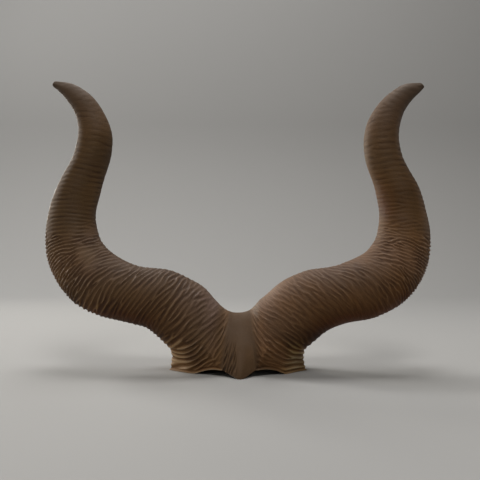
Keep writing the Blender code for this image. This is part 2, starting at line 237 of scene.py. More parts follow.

# How strong the ridges are: length along the horn and a factor on its outer flank, its front and its
# inner flank. Above HEIGHT_LIMIT they get more painted shade in their grooves, but not higher.
RIDGE_STRENGTH = {
    "left": [
        (-60, 0.65, 0.5, 0.85), (-30, 1.1, 0.85, 0.35), (0, 1.3, 0.72, 0.42), (30, 0.9, 0.8, 0.9),
        (50, 0.9, 0.9, 1.05), (70, 0.62, 0.62, 1.0), (100, 0.5, 0.88, 0.9), (130, 1.0, 1.05, 0.95),
        (150, 1.65, 1.15, 0.7), (180, 2.6, 1.0, 0.6), (220, 2.5, 1.15, 0.75), (260, 1.7, 1.4, 1.25),
        (290, 1.6, 1.2, 1.15), (320, 1.25, 0.75, 0.9), (360, 1.05, 0.65, 0.8), (400, 1.2, 0.8, 1.0),
        (440, 1.0, 0.7, 0.9),
    ],
    "right": [
        (-60, 0.5, 0.52, 1.1), (-30, 0.8, 0.55, 0.3), (0, 0.85, 0.65, 0.35), (30, 0.5, 0.48, 0.35),
        (50, 0.32, 0.4, 0.35), (80, 0.15, 0.6, 0.6), (110, 0.25, 0.63, 0.75), (130, 0.35, 0.6, 0.8),
        (150, 0.5, 0.65, 0.85), (180, 0.7, 0.68, 0.4), (210, 1.5, 0.85, 0.6), (240, 1.05, 0.86, 1.35),
        (270, 0.85, 0.65, 1.0), (300, 0.9, 0.7, 0.95), (350, 0.8, 0.65, 0.85), (450, 1.0, 0.9, 0.9),
        (600, 1.0, 1.0, 1.0),
    ],
}
HEIGHT_LIMIT = 1.0

# Where the joint ends and the rim begins, in degrees away from the joint's top.
JOINT_END = (86.0, 92.0)

# Reach of the smooth edge beside the joint: height of the joint and the reach there.
JOINT_FADE = {"left": [(30, 5), (75, 9), (95, 14)], "right": [(30, 7), (60, 12), (95, 18)]}
JOINT_CREST = 0.6
TIP_CREST = 0.5

# The foot's outer wall, which painted light makes paler, and whose ridges are wider and higher.
WALL_TINT_START = (70.0, 90.0)
WALL_TINT_TOP = (42.0, 66.0)
WALL_RAGGED = (4.0, 3.0)
WALL_SPREAD = 0.2
WALL_WIDENING = 0.72
WALL_STRENGTH = 0.6

# The rolled lip around the rim, which gets a painted highlight, the groove above it, which painted shade
# darkens, where the ridges set in beside it, and the shallow dish beside each foot's front corner.
LIP_HEIGHT = 1.2
LIP_WIDTH = 1.7
LIP_GROOVE_DEPTH = 1.1
LIP_GROOVE_PLACE = 4.2
LIP_GROOVE_WIDTH = 1.3
LIP_GROOVE_PAINTED_SHADE = 0.5
LIP_CALM = (1.5, 5.5)
DISH_DEPTH = 2.2
DISH_ANGLE = 58.0
DISH_SPREAD = 13.0
DISH_TOP = (12.0, 42.0)

# Fine wrinkles on the strip's left half, low down and along its edge: distance left of the middle
# and their direction in degrees above level, going right.
WRINKLE_DIRECTION = [(-30, 118), (-15, 102), (0, 84), (12, 68), (27, 57)]
WRINKLE_PITCH = 5.6
WRINKLE_ROUNDS = 60
WRINKLE_WAVER = 6.0
WRINKLE_START = (-1.0, 6.0)
WRINKLE_TOP = (36.0, 62.0)
WRINKLE_EDGE = (13.0, 24.0)
WRINKLE_EDGE_STRENGTH = 0.7
WRINKLE_FRONT = (5.0, 30.0)
WRINKLE_FOOT = (3.0, 9.0)
WRINKLE_STRENGTH = 0.75
WRINKLE_PATCHINESS = 0.35
WRINKLE_HEIGHT = 1.25
# How much painted shade and light the wrinkles add to the strip's colour.
WRINKLE_CONTRAST = 0.65
WRINKLE_SEED = 8

# Painted light on the right side of the strip's point, which faces away from the lamps: distance right of the
# middle, and height.
PAINTED_LIGHT_SIDE_START = (6.0, 20.0)
PAINTED_LIGHT_SIDE_TOP = (34.0, 58.0)
PAINTED_LIGHT_SIDE_CREST = 0.34

# Where the tips turn grey, in metres along the horn, and its growth lines: the radius of the straight
# rod on which their noise is read, and how that is squeezed along and across.
TIP_START = (0.46, 0.58)
ROD_RADIUS = 45.0
GROWTH_SQUEEZE = (1.0, 0.1, 0.1)

# Reach of the skull's colour on the horns, in rows like those of JOINT_FADE.
BONE_REACH = {"left": [(20, 30), (60, 55), (95, 75)], "right": [(20, 14), (60, 26), (95, 60)]}

# How light each horn is, in rows like those of RIDGE_STRENGTH: partly its own tone, and partly painted
# light and shade, lighter on flanks that face the lamps and darker on those that face away. The foot's
# outer wall is paler still, from painted light.
TONE_AND_PAINTED_LIGHT = {
    "left": [
        (-60, 1.9, 1.55, 1.9), (-30, 1.65, 1.9, 1.8), (0, 1.22, 1.38, 1.75), (30, 0.98, 1.4, 1.45),
        (60, 0.82, 1.15, 1.1), (110, 0.78, 1.0, 1.0), (160, 1.2, 1.2, 1.05), (190, 0.95, 1.32, 1.22),
        (208, 1.1, 1.42, 1.25), (225, 1.75, 1.6, 1.3), (250, 2.05, 1.42, 1.3), (275, 1.6, 1.15, 1.15),
        (300, 1.07, 0.8, 0.84), (355, 0.95, 0.79, 1.15), (425, 1.02, 0.9, 0.85), (490, 1.4, 1.3, 1.2),
        (600, 1.3, 1.3, 1.3),
    ],
    "right": [
        (-60, 1.4, 0.5, 1.7), (-30, 1.85, 2.1, 1.75), (-12, 1.6, 1.55, 1.55), (0, 0.75, 1.02, 1.4),
        (30, 0.58, 1.3, 1.5), (60, 0.98, 1.15, 1.15), (110, 1.0, 1.06, 1.02), (160, 1.08, 1.05, 1.03),
        (190, 1.05, 1.45, 1.25), (220, 1.22, 1.68, 1.3), (240, 1.75, 1.78, 1.3), (275, 1.65, 1.35, 1.16),
        (300, 1.0, 0.84, 0.77), (325, 1.05, 0.79, 0.85), (355, 0.8, 0.74, 0.95), (390, 0.9, 0.95, 1.08),
        (430, 0.95, 1.0, 1.1), (490, 1.0, 1.08, 1.08), (600, 1.0, 1.0, 1.0),
    ],
}

# How warm the colour is, in the same places: partly the horn's own colour, and partly painted shade,
# which is warmer on the shaded flanks. 0 leaves it as it is, more takes away blue and a little green,
# and less adds them.
WARMTH_AND_PAINTED_SHADE = {
    "left": [
        (-60, 0.1, 0.45, 0.0), (-30, 0.15, -0.25, -0.4), (0, 0.35, -0.3, -1.1), (40, 0.65, -0.05, -0.75),
        (60, 0.95, 0.15, -0.35), (110, 0.95, 0.2, -0.4), (160, 0.55, -0.15, -0.35), (200, 0.4, -0.3, -0.4),
        (240, -0.2, -0.25, -0.45), (290, 0.0, 0.0, 0.0),
    ],
    "right": [
        (-60, 0.15, 0.3, 0.0), (-30, 0.0, -0.2, -0.3), (0, 0.65, -0.15, -0.5), (60, 0.9, 0.1, -0.4),
        (110, 0.9, 0.12, -0.4), (160, 0.75, 0.05, -0.45), (195, 0.8, -0.1, -0.35), (225, 0.25, -0.4, -0.3),
        (250, -0.3, -0.25, -0.1), (280, -0.2, 0.05, 0.4), (310, 0.05, 0.2, 0.7), (360, 0.15, 0.15, 0.55),
        (410, -0.2, -0.35, -0.2), (490, -0.2, -0.4, -0.4), (600, 0.0, -0.1, -0.2),
    ],
}
MOST_WARMTH = 0.9
GREEN_POWER = 0.25

# A further factor on the colour's blue by length, the painted light on the foot's outer wall, and the
# reach beside the joint over which all of these set in.
BLUENESS = [(250, 1.0), (310, 0.8), (430, 0.8), (520, 1.0)]
WALL_PAINTED_LIGHT = {"left": (1.7, 1.8, 2.0), "right": (1.33, 1.6, 1.65)}
TINT_REACH = [(0, 9)]

# Base colours of the horns, the skull and the porous bone in the hollow (linear red, green, blue),
# how fine the patterns in them are, and how glossy they are. The groove colours of the horns and the
# skull are painted shade and their crest colours painted light, following the relief; the colours for
# the horns' crest tops and for the lip are painted highlights.
HORN_LOOK = {
    "left": {"groove": (0.036, 0.0155, 0.005), "crest": (0.114, 0.063, 0.029), "warm": (0.084, 0.045, 0.016),
             "painted_highlight": (0.20, 0.144, 0.092), "lip": (0.19, 0.133, 0.078), "tip": (0.074, 0.050, 0.033)},
    "right": {"groove": (0.043, 0.018, 0.006), "crest": (0.128, 0.068, 0.030), "warm": (0.108, 0.051, 0.018),
              "painted_highlight": (0.21, 0.147, 0.092), "lip": (0.115, 0.074, 0.038), "tip": (0.066, 0.045, 0.030)},
}
SKULL_GROOVE = (0.026, 0.012, 0.004)
SKULL_CREST = (0.102, 0.0565, 0.026)
SKULL_BLOTCH = (0.066, 0.036, 0.015)
PORE_DARK = (0.09, 0.055, 0.032)
PORE_LIGHT = (0.20, 0.14, 0.09)
PATTERN_SCALE = {"patches": 26.0, "blotches": 38.0, "growth": 420.0, "grain": 420.0, "crackle": 520.0,
                 "pores": 700.0}
SPECULAR = 0.24
CREST_ROUGHNESS = 0.44
GROOVE_ROUGHNESS = 0.74
SKULL_ROUGHNESS = (0.62, 0.76)

# Camera at the height of the horns' bend, straight in front.
CAMERA_PLACE = (0.0034, -1.133, 0.2214)
CAMERA_LENS = 50.0
CAMERA_SENSOR = 36.0


def smooth_curve(rows, at):
    """Smooth curve through rows whose first column is the parameter, read at the values in at."""
    rows = np.asarray(rows, float)
    knots = rows[:, 0]
    values = rows[:, 1:]
    steps = np.diff(knots)[:, None]
    slopes = np.diff(values, axis=0) / steps
    inner = (slopes[:-1] * steps[1:] + slopes[1:] * steps[:-1]) / (steps[1:] + steps[:-1])
    tangents = np.concatenate([slopes[:1], inner, slopes[-1:]])
    i = np.clip(np.searchsorted(knots, at, side="right") - 1, 0, len(knots) - 2)
    return hermite(values[i], tangents[i] * steps[i], values[i + 1], tangents[i + 1] * steps[i],
                   ((at - knots[i]) / steps[i, 0])[:, None])


def hermite(start, start_pull, end, end_pull, f):
    """Cubic from start to end that leaves along start_pull and arrives along end_pull."""
    return (start * (2 * f**3 - 3 * f**2 + 1) + start_pull * (f**3 - 2 * f**2 + f)
            + end * (3 * f**2 - 2 * f**3) + end_pull * (f**3 - f**2))


def smooth_step(value, low, high):
    """0 below low, 1 above high, smooth between."""
    f = np.clip((value - low) / (high - low), 0, 1)
    return f * f * (3 - 2 * f)


def hill(value, middle, width):
    """1 where value is at the middle, falling smoothly to 0 on both sides."""
    return np.exp(-((value - middle) / width) ** 2)


def unit(vectors):
    return vectors / np.linalg.norm(vectors, axis=-1, keepdims=True)


def table(rows, at):
    """Straight-line reading of rows (place, value) at the places in at."""
    return np.interp(at, *np.transpose(rows))


def arch_curve(angles, front, back, top):
    """Depth and height along an arch from its front foot (90) over its top (180) to its back foot.

    front and back are (depth, height) of the feet, and top is the height in the middle.
    """
    turn = np.radians(angles - 90.0)
    ahead = angles <= 180.0
    power = np.where(ahead, 2.0 / FRONT_FULLNESS, 2.0 / BACK_FULLNESS)
    foot_depth = np.where(ahead, front[0], back[0])
    foot_height = np.where(ahead, front[1], back[1])
    depth = foot_depth * np.abs(np.cos(turn)) ** power
    height = foot_height + (top - foot_height) * np.abs(np.sin(turn)) ** power
    return depth, height


def joint_distance(side, height):
    """Distance from the middle to the joint plane between a horn and the skull strip."""
    share = 1.0 - height / SADDLE_HEIGHT
    return STRIP_TOP[side] + (STRIP_FOOT[side] - STRIP_TOP[side]) * share


def foot_ring(side, angles, inset):
    """The foot's closed edge: its rim, and the arch where it meets the skull strip.

    inset moves the ring inwards, from the outer surface to the wall of the hollow.
    """
    ring = np.empty((len(angles), 3))
    for stretch in RIM[side]:
        inside = (angles >= stretch[0][0]) & (angles <= stretch[-1][0])
        ring[inside] = smooth_curve(stretch, angles[inside])
    turn = np.radians(angles)
    inwards = np.stack([-np.cos(turn), np.sin(turn), np.zeros_like(turn)], axis=1)
    ring += inset * inwards
    joint = (angles >= 90.0) & (angles <= 270.0)
    top = SADDLE_HEIGHT + SADDLE_RISE[side] if inset == 0 else HOLLOW_HEIGHT
    depth, height = arch_curve(angles[joint], (FRONT_FOOT_DEPTH + inset, FRONT_FOOT_HEIGHT),
                               (BACK_FOOT_DEPTH - inset, 0.0), top)
    out = joint_distance(side, height) + JOINT_GAP / 2
    ring[joint] = np.stack([out, depth, height], axis=1)
    return ring


def foot_direction(angles, flare, slope):
    """Unit directions in which the surface leaves the foot's edge: up a wall, or out of the joint.

    flare is how far a wall leans in, and slope how fast the top of the joint climbs outwards.
    """
    turn = np.radians(angles)
    wall = np.stack([-flare * np.cos(turn), flare * np.sin(turn), np.ones_like(turn)], axis=1)
    lean = np.where(angles <= 180.0, FRONT_SLOPE, BACK_SLOPE) * np.abs(np.sin(turn)) ** SLOPE_FALL
    joint = np.stack([np.ones_like(turn), lean, slope * np.cos(turn) ** 2], axis=1)
    off_corner = np.abs(angles - 180.0)
    share = smooth_step(off_corner, 90.0 - CORNER_SPREAD, 90.0 + CORNER_SPREAD)[:, None]
    return unit(unit(wall) * share + unit(joint) * (1 - share))


def way_along(rows):
    """Distance of the points in each row from the first row, measured from row to row."""
    steps = np.linalg.norm(np.diff(rows, axis=0), axis=-1)
    return np.concatenate([np.zeros((1, *steps.shape[1:])), np.cumsum(steps, axis=0)])


def ring_middles(rows):
    """Middles of the rings that rows of the outline describe."""
    return np.stack([(rows[:, 0] + rows[:, 2]) / 2, rows[:, 4], (rows[:, 1] + rows[:, 3]) / 2], axis=1)


def horn_stations(side):
    """Rows of the horn's outline with the length along its middle as the parameter."""
    rows = np.asarray(OUTLINE[side], float)
    return np.column_stack([way_along(ring_middles(rows)), rows])


def horn_rings(side, at, angles):
    """Rings of points on the smooth horn at the lengths in at, as an array (ring, angle, 3)."""
    stations = horn_stations(side)
    row = smooth_curve(stations, at)
    ahead = smooth_curve(stations, np.minimum(at + SHORT_WAY / 2, stations[-1, 0]))
    behind = smooth_curve(stations, np.maximum(at - SHORT_WAY / 2, 0.0))
    change = ahead - behind
    axis = unit(np.stack([change[:, 0] + change[:, 2], change[:, 1] + change[:, 3]], axis=1))
    half_out = (row[:, 0] - row[:, 2]) / 2
    half_up = (row[:, 1] - row[:, 3]) / 2
    thickness = np.abs(half_out * axis[:, 1] - half_up * axis[:, 0])
    across = np.stack([half_out, np.zeros_like(half_out), half_up], axis=1)
    forward = np.stack([-row[:, 5] * axis[:, 0], -DEPTH_RATIO * thickness, -row[:, 5] * axis[:, 1]], axis=1)
    turn = np.radians(angles)
    return (ring_middles(row)[:, None] + across[:, None] * np.cos(turn)[None, :, None]
            + forward[:, None] * np.sin(turn)[None, :, None])


def foot_rings(side, shares, angles):
    """Rings between the foot's edge (share 0) and the horn's first ring (share 1)."""
    start = foot_ring(side, angles, 0.0)
    end, after = horn_rings(side, np.array([0.0, SHORT_WAY]), angles)
    reach = np.linalg.norm(end - start, axis=1, keepdims=True)
    leave = foot_direction(angles, FLARE[side], SADDLE_SLOPE[side]) * reach
    arrive = unit(after - end) * reach
    return hermite(start, leave, end, arrive, shares[:, None, None])


def hollow_rings(side, shares, angles):
    """Rings of the hollow from the rim's inner edge (share 0) towards its closed end (share 1)."""
    start = foot_ring(side, angles, WALL)
    end = np.array(HOLLOW_END)
    reach = np.linalg.norm(end - start, axis=1, keepdims=True)
    leave = foot_direction(angles, 0.0, 0.0) * reach
    arrive = (end - start) * [1, 1, 0]
    return hermite(start, leave, end, arrive, shares[:, None, None])


def tip_rings(side, angles):
    """Shrinking rings that round off the tip, and the point at its end."""
    stations = horn_stations(side)
    last, end = horn_rings(side, stations[-1, 0] - np.array([SHORT_WAY, 0.0]), angles)
    middle = end.mean(axis=0)
    ahead = unit(middle - last.mean(axis=0)) * TIP_LENGTH[side]
    turn = np.radians(90.0 * np.arange(1, TIP_RINGS + 1) / (TIP_RINGS + 1))[:, None, None]
    return middle + (end - middle) * np.cos(turn) + ahead * np.sin(turn), middle + ahead


def surface_normals(rings):
    """Unit normals of a grid of rings, pointing away from the rings' middles."""
    around = np.roll(rings, -1, axis=1) - np.roll(rings, 1, axis=1)
    along = np.gradient(rings, axis=0)
    normals = np.cross(around, along)
    outwards = rings - rings.mean(axis=1, keepdims=True)
    return unit(normals * np.sign(np.sum(normals * outwards)))


def wander(random, shape, kind):
    """Smooth noise of a kind named in SPREAD over a grid (ring, angle), of unit strength."""
    field = random.normal(size=shape)
    spread_along, spread_around = SPREAD[kind]
    rate_along = np.fft.fftfreq(shape[0])[:, None] * spread_along
    rate_around = np.fft.fftfreq(shape[1]) * spread_around
    keep = np.exp(-2 * math.pi**2 * (rate_along**2 + rate_around**2))
    field = np.fft.ifft2(np.fft.fft2(field) * keep).real
    return field / field.std()


def flank_table(rows, lengths, angles):
    """Reading of rows (length, value on the outer flank, in front, on the inner flank) over a horn.

    lengths is a column, one for each ring.
    """
    across = np.clip(-np.cos(np.radians(angles)), -WIDEST_SHARE, WIDEST_SHARE)
    places, *columns = np.transpose(rows)
    outer, front, inner = [np.interp(lengths, places, column) for column in columns]
    tilt = (inner - outer) / (2 * FLANK_SHARE)
    bend = ((inner + outer) / 2 - front) / FLANK_SHARE**2
    return front + tilt * across + bend * across**2


def ridge_directions(side, rings, lengths, angles):
    """Direction of the ridges at each point, in radians above level, going inwards."""
    on_horn = flank_table(RIDGE_DIRECTION[side], lengths, angles)
    out = rings[..., 0]
    up = rings[..., 2]
    on_foot = table(FOOT_DIRECTION, out) + table(FOOT_RISE, up)
    on_foot *= 1 - smooth_step(out, *WALL_START) * (1 - smooth_step(up, *WALL_TOP[side]))
    share = smooth_step(lengths, *FOOT_REACH)
    return np.radians(on_horn * share + on_foot * (1 - share))


def ridge_steps(rings, directions, pitch):
    """Turn of the ridge wave from each point to the next ring, and to the next angle.

    The wave travels over the surface, across a ridge that has the given direction.
    """
    normals = surface_normals(rings)
    travel = np.stack([np.sin(directions), np.zeros_like(directions), np.cos(directions)], axis=-1)
    travel -= normals * np.sum(travel * normals, axis=-1, keepdims=True)
    rate = unit(travel) * (2 * math.pi / pitch)[..., None]
    next_ring = (rate[1:] + rate[:-1]) / 2 * np.diff(rings, axis=0)
    next_angle = (rate + np.roll(rate, -1, axis=1)) / 2 * (np.roll(rings, -1, axis=1) - rings)
    return next_ring.sum(axis=-1), next_angle.sum(axis=-1)


def neighbour_mean(field, next_ring, next_angle, hops):
    """Mean of a point's own wave and of what its neighbours expect of it.

    Its neighbours are one angle away and, along the horn, as many rings away as each hop.
    """
    turn_angle = np.exp(1j * next_angle)
    mean = np.roll(field, -1, axis=1) * turn_angle.conj() + np.roll(field * turn_angle, 1, axis=1)
    turned = np.concatenate([np.zeros((1, field.shape[1])), np.cumsum(next_ring, axis=0)])
    for hop in hops:
        turn = np.exp(1j * (turned[hop:] - turned[:-hop]))
        mean[:-hop] += field[hop:] * turn.conj()
        mean[hop:] += field[:-hop] * turn
    return OWN_SHARE * field + (1 - OWN_SHARE) * mean / (2 + 2 * len(hops))


def ridge_field(random, rings, directions, pitch, rounds, long_parts=()):
    """Wave of ridges as complex numbers: the angle is 0 on a crest, the size is small at a fork.

    It starts from noise. Each point then takes on what its neighbours expect, again and again, until
    long ridges are left that fork where their directions or pitch make them. The ranges of rings in
    long_parts, where ridges run longer, start with rounds that also look further along the horn.
    """
    next_ring, next_angle = ridge_steps(rings, directions, pitch)
    shape = rings.shape[:2]
    field = random.normal(size=shape) + 1j * random.normal(size=shape)
    for first, end in long_parts:
        part = field[first:end]
        for _ in range(LONG_ROUNDS):
            part = neighbour_mean(part, next_ring[first:end - 1], next_angle[first:end], (1, LONG_HOP))
            part /= np.abs(part) + LEAST_SIZE
        field[first:end] = part
    for _ in range(rounds):
        field = neighbour_mean(field, next_ring, next_angle, (1,))
        field /= np.abs(field) + LEAST_SIZE
    for _ in range(FORK_ROUNDS):
        field = neighbour_mean(field, next_ring, next_angle, (1,))
    return field


def ridge_waves(field, narrowness):
    """Height of the ridges of a complex field, 1 on a crest and 0 in a groove, low at forks."""
    turn = np.angle(field)
    turn = turn + RIDGE_SKEW * np.sin(turn)
    crest = (0.5 + 0.5 * np.cos(turn)) ** narrowness
    size = np.minimum(np.abs(field) / FORK_STRENGTH, 1.0)
    return 0.5 + (crest - 0.5) * size


def cut_waves(random, field):
    """1 in the short cuts along the grooves of a complex field, which painted shade darkens, 0 elsewhere."""
    groove = (0.5 - 0.5 * np.cos(np.angle(field))) ** CUT_NARROWNESS
    return groove * smooth_step(wander(random, field.shape, "cuts"), *CUT_START)


def ridge_relief(random, side, lengths, angles, rings, wall):
    """Height of the ridges over the smooth horn, and how light they look from 0 to 1: painted shade in the
    grooves and painted light on the crests.

    wall is the share of the outer wall of the foot, where they are wider and higher. On the upright
    part above the bend they are low.
    """
    shape = rings.shape[:2]
    ragged = UPRIGHT_RAGGED * wander(random, shape, "upright")
    upright = smooth_step(rings[..., 2] + ragged, *UPRIGHT_START)
    waver = math.radians(RIDGE_WAVER) * (1 - (1 - UPRIGHT_WAVER) * upright)
    directions = ridge_directions(side, rings, lengths, angles)
    directions += waver * wander(random, shape, "waver")
    stretch = 1 + PITCH_WAVER * (1 - upright) * wander(random, shape, "pitch")
    stretch = np.clip(stretch, *PITCH_LIMITS)
    pitch = table(RIDGE_PITCH[side], lengths) * stretch * (1 + WALL_SPREAD * wall)
    long_parts = [(0, FOOT_RINGS), (int(np.searchsorted(lengths[:, 0], UPRIGHT_LENGTH)), len(lengths))]
    field = ridge_field(random, rings, directions, pitch, RIDGE_ROUNDS[side], long_parts)
    jitter = JITTER[side] * (1 - JITTER_CALM * upright) * (1 - JITTER_CALM * wall)
    field *= np.exp(1j * jitter * wander(random, shape, "jitter"))
    crests = ridge_waves(field, table(RIDGE_NARROWNESS, lengths) * (1 - WALL_WIDENING * wall))
    fine_field = ridge_field(random, rings, directions, pitch * FINE_PITCH_SHARE, FINE_ROUNDS)
    fine = (ridge_waves(fine_field, 1.0) - 0.5) * (1 - FINE_WALL_CALM * wall)
    by_place = flank_table(RIDGE_STRENGTH[side], lengths, angles)
    cuts = cut_waves(random, field) * np.clip(by_place, *CUT_STRENGTH)
    strength = 1 - PATCHINESS_LOSS + PATCHINESS * np.tanh(wander(random, shape, "patches"))
    strength = (strength + WALL_STRENGTH * wall) * by_place
    strength *= 1 - INNER_EDGE_CALM * smooth_step(-np.cos(np.radians(angles)), *INNER_EDGE)
    strength *= 1 - (1 - table(UPRIGHT_STRENGTH, lengths)) * upright
    fine *= 1 - FINE_UPRIGHT_CALM * upright
    height = table(RIDGE_HEIGHT, lengths) * (crests - 0.5) * 2 * np.minimum(strength, HEIGHT_LIMIT)
    height += table(FINE_HEIGHT, lengths) * fine * 2 - CUT_DEPTH * cuts
    swell = wander(random, shape, "swell")
    height += SWELL_HEIGHT * swell * smooth_step(lengths, *SWELL_START)
    contrast = table(RIDGE_CONTRAST, lengths)
    # Painted shade and light: the colour is darkened in the grooves and cuts and lightened on the crests.
    lightness = 0.5 + contrast * ((crests - 0.5) * strength + FINE_CONTRAST * fine)
    return height, lightness - CUT_CONTRAST * cuts


def at_joint(angles):
    """1 where a ring of the foot meets the skull strip, 0 on its rim."""
    return 1 - smooth_step(np.abs(angles - 180.0), *JOINT_END)


def near_joint(rows, rings, angles):
    """1 at the joint, falling to 0 over the reach that rows (height of the joint, reach) give."""
    reach = table(rows, rings[0, :, 2])
    return at_joint(angles) * (1 - smooth_step(way_along(rings), 0, reach))


def rim_shares(rings, angles):
    """1 on the lip of the rim, in the groove above it, and where the rim keeps ridges away."""
    from_edge = way_along(rings)
    rim = 1 - at_joint(angles)
    groove = rim * hill(from_edge, LIP_GROOVE_PLACE, LIP_GROOVE_WIDTH)
    return rim * hill(from_edge, 0, LIP_WIDTH), groove, rim * (1 - smooth_step(from_edge, *LIP_CALM))


def add_thing(name, data):
    thing = bpy.data.objects.new(name, data)
    bpy.context.scene.collection.objects.link(thing)
    return thing


def add_mesh(name, points, faces):
    """A new smooth object from points in millimetres."""
    mesh = bpy.data.meshes.new(name)
    mesh.from_pydata((np.asarray(points) * METRES_PER_MM).tolist(), [], faces)
    mesh.shade_smooth()
    mesh.set_sharp_from_angle(angle=math.radians(60.0))
    return add_thing(name, mesh)


def add_values(thing, name, values):
    """Stores a number or a vector for each point, for the material to read."""
    kind, key = ("FLOAT", "value") if values.ndim == 1 else ("FLOAT_VECTOR", "vector")
    layer = thing.data.attributes.new(name, kind, "POINT")
    layer.data.foreach_set(key, values.astype(np.float32).ravel())


def ring_faces(rings, around, first):
    """Quads between neighbouring rings of vertices that start at the index first."""
    faces = []
    for start in range(first, first + (rings - 1) * around, around):
        for place in range(around):
            a = start + place
            b = start + (place + 1) % around
            faces.append((a, b, b + around, a + around))
    return faces


def add_horn(side):
    """The fine horn: its tip's dome, its ridged outside down to the foot's edge, and its hollow."""
    random = np.random.default_rng(SEED[side])
    angles = np.arange(SEGMENTS) * 360.0 / SEGMENTS
    length = horn_stations(side)[-1, 0]
    horn_lengths = np.linspace(0.0, length, int(length / RING_SPACING) + 1)
    shares = np.linspace(0.0, 1.0, FOOT_RINGS + 1)[:-1]
    smooth = np.concatenate([foot_rings(side, shares, angles), horn_rings(side, horn_lengths, angles)])
    lengths = np.concatenate([-FOOT_LENGTH * (1 - shares), horn_lengths])[:, None]
    wall = wall_share(random, smooth)
    height, crests = ridge_relief(random, side, lengths, angles, smooth, wall)
    fade = 1 - near_joint(JOINT_FADE[side], smooth, angles)
    lip, groove, calm = rim_shares(smooth, angles)
    dish = hill(angles, DISH_ANGLE, DISH_SPREAD) * (1 - smooth_step(smooth[..., 2], *DISH_TOP))
    rim_height = LIP_HEIGHT * lip - LIP_GROOVE_DEPTH * groove - DISH_DEPTH * dish
    height = (height * (1 - calm) + rim_height) * fade
    # Painted shade darkens the groove above the lip.
    crests = JOINT_CREST + ((crests - JOINT_CREST) * (1 - calm) - LIP_GROOVE_PAINTED_SHADE * groove) * fade
    crests = np.clip(crests, 0, 1)
    outside = smooth + surface_normals(smooth) * height[..., None]
    outside[0, :, 2] = smooth[0, :, 2]
    dome, point = tip_rings(side, angles)
    inside = hollow_rings(side, np.arange(HOLLOW_RINGS) / HOLLOW_RINGS, angles)
    rings = np.concatenate([dome[::-1], outside[::-1], inside])
    sign = -1.0 if side == "left" else 1.0
    points = np.concatenate([[point], rings.reshape(-1, 3), [HOLLOW_END]]) * [sign, 1, 1]
    last = len(points) - 1
    faces = [(0, 1 + (place + 1) % SEGMENTS, 1 + place) for place in range(SEGMENTS)]
    faces += ring_faces(len(rings), SEGMENTS, 1)
    start = last - SEGMENTS
    faces += [(last, start + place, start + (place + 1) % SEGMENTS) for place in range(SEGMENTS)]
    if side == "left":
        faces = [face[::-1] for face in faces]
    horn = add_mesh(f"{side}_horn_surface", points, faces)
    add_horn_values(horn, "crest", TIP_CREST, crests, 0.0)
    add_horn_values(horn, "hollow", 0.0, np.zeros_like(crests), 1.0)
    add_horn_values(horn, "tint", 1.0, horn_tint(side, lengths, angles, smooth, wall), 1.0)
    add_horn_values(horn, "lip", 0.0, lip, 0.0)
    add_horn_values(horn, "bone", 0.0, near_joint(BONE_REACH[side], smooth, angles), 0.0)
    ring_lengths = np.concatenate([[length] * TIP_RINGS, lengths[::-1, 0], [-FOOT_LENGTH] * HOLLOW_RINGS])
    add_values(horn, "straight", straight_places(ring_lengths, angles))
    return horn


def add_horn_values(horn, name, on_tip, outside, in_hollow):
    """Stores a value for all of the tip's dome, those of the outside from the foot's edge upwards,
    and a value for all of the hollow."""
    axes = outside.shape[2:]
    tip = np.full((1 + TIP_RINGS * SEGMENTS, *axes), on_tip)
    hollow = np.full((HOLLOW_RINGS * SEGMENTS + 1, *axes), in_hollow)
    add_values(horn, name, np.concatenate([tip, outside[::-1].reshape(-1, *axes), hollow]))


def horn_tint(side, lengths, angles, rings, wall):
    """Factors for red, green and blue at each point of the horn's outside: its own tone and colour, with
    painted light and shade on its flanks and on the foot's outer wall.
    """
    # Warmer colour on the shaded flanks is painted shade.
    warmth = np.minimum(flank_table(WARMTH_AND_PAINTED_SHADE[side], lengths, angles), MOST_WARMTH)
    blue = (1 - warmth) * table(BLUENESS, lengths)
    tint = np.stack([np.ones_like(warmth), (1 - warmth) ** GREEN_POWER, blue], axis=-1)
    # Painted light and shade: flanks facing the lamps lighter, those facing away darker, with the horn's own
    # tone.
    tint *= flank_table(TONE_AND_PAINTED_LIGHT[side], lengths, angles)[..., None]
    # Painted light on the foot's outer wall.
    tint *= 1 + (np.array(WALL_PAINTED_LIGHT[side]) - 1) * wall[..., None]
    return 1 + (tint - 1) * (1 - near_joint(TINT_REACH, rings, angles))[..., None]


def wall_share(random, rings):
    """1 on the foot's outer wall, which painted light makes paler and yellower than the rest, 0 elsewhere."""
    ragged = wander(random, rings.shape[:2], "wall")
    out = rings[..., 0] + WALL_RAGGED[0] * ragged
    up = rings[..., 2] + WALL_RAGGED[1] * ragged
    return smooth_step(out, *WALL_TINT_START) * (1 - smooth_step(up, *WALL_TINT_TOP))


def straight_places(lengths, angles):
    """Where each point would be, in metres, if the horn were a straight rod along X."""
    turn = np.radians(angles)
    places = np.broadcast_arrays(lengths[:, None], ROD_RADIUS * np.cos(turn), ROD_RADIUS * np.sin(turn))
    rod = np.stack(places, axis=-1).reshape(-1, 3)
    first = [[lengths[0], 0, 0]]
    last = [[lengths[-1], 0, 0]]
    return np.concatenate([first, rod, last]) * METRES_PER_MM


def saddle_top(share):
    """Height of the top of the skull strip at a share of its width, a shallow saddle."""
    side = "left" if share < SADDLE_LOW_SHARE else "right"
    width = SADDLE_LOW_SHARE if side == "left" else 1 - SADDLE_LOW_SHARE
    return SADDLE_HEIGHT + SADDLE_RISE[side] * (abs(share - SADDLE_LOW_SHARE) / width) ** SADDLE_FALL


